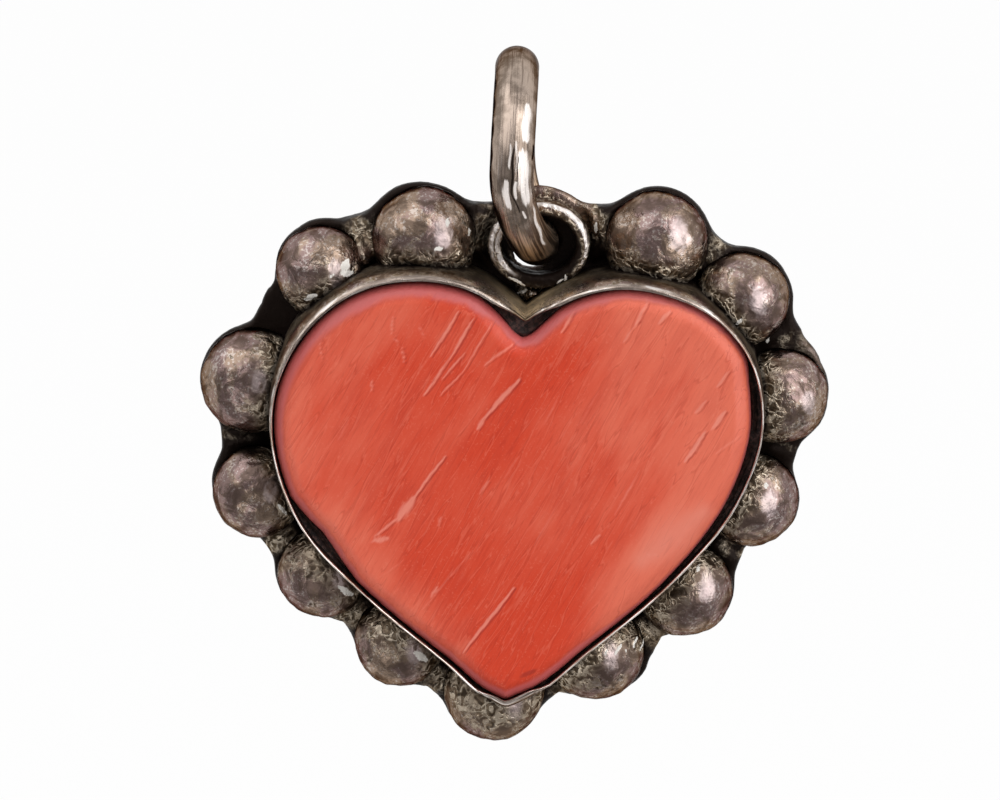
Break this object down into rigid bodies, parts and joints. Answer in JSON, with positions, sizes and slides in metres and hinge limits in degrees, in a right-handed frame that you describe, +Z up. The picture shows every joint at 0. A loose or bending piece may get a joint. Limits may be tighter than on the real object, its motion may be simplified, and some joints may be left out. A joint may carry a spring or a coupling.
{
  "type": "heart pendant",
  "caption": "Heart-shaped stone in a silver strip setting, edged with silver balls on a scalloped plate, hanging from a round wire bail through a soldered eyelet.",
  "frame": {"origin": "inside top of the bail, where the chain or cord carries it", "axes": "+Z up as it hangs, front of the heart towards -Y, +X to the right seen from the front"},
  "size_m": [0.0318, 0.011, 0.0354],
  "materials": {
    "plate_silver": "oxidised sheet silver, dark in its corners",
    "bezel_silver": "burnished strip silver with a tarnished wall",
    "bead_silver": "worn silver with tarnish towards its foot",
    "eyelet_silver": "tarnished wire silver",
    "bail_silver": "drawn wire silver, worn bright",
    "shell": "polished coral-red shell with fine pale streaks",
    "packing": "dark setting cement"
  },
  "bodies": {
    "bail": {"bail": "bail_silver"},
    "heart": {"backplate": "plate_silver", "bezel": "bezel_silver", "stone": "shell", "setting_bed": "packing", "eyelet": "eyelet_silver", "raindrop_01": "bead_silver", "raindrop_02": "bead_silver", "raindrop_03": "bead_silver", "raindrop_04": "bead_silver", "raindrop_05": "bead_silver", "raindrop_06": "bead_silver", "raindrop_07": "bead_silver", "raindrop_08": "bead_silver", "raindrop_09": "bead_silver", "raindrop_10": "bead_silver", "raindrop_11": "bead_silver", "raindrop_12": "bead_silver", "raindrop_13": "bead_silver"}
  },
  "joints": [
    {"name": "heart_swing", "type": "hinge", "parent": "bail", "child": "heart", "pos_m": [0, 0, -0.0033], "axis": [1, 0, 0], "range_deg": [-20, 20]}
  ]
}
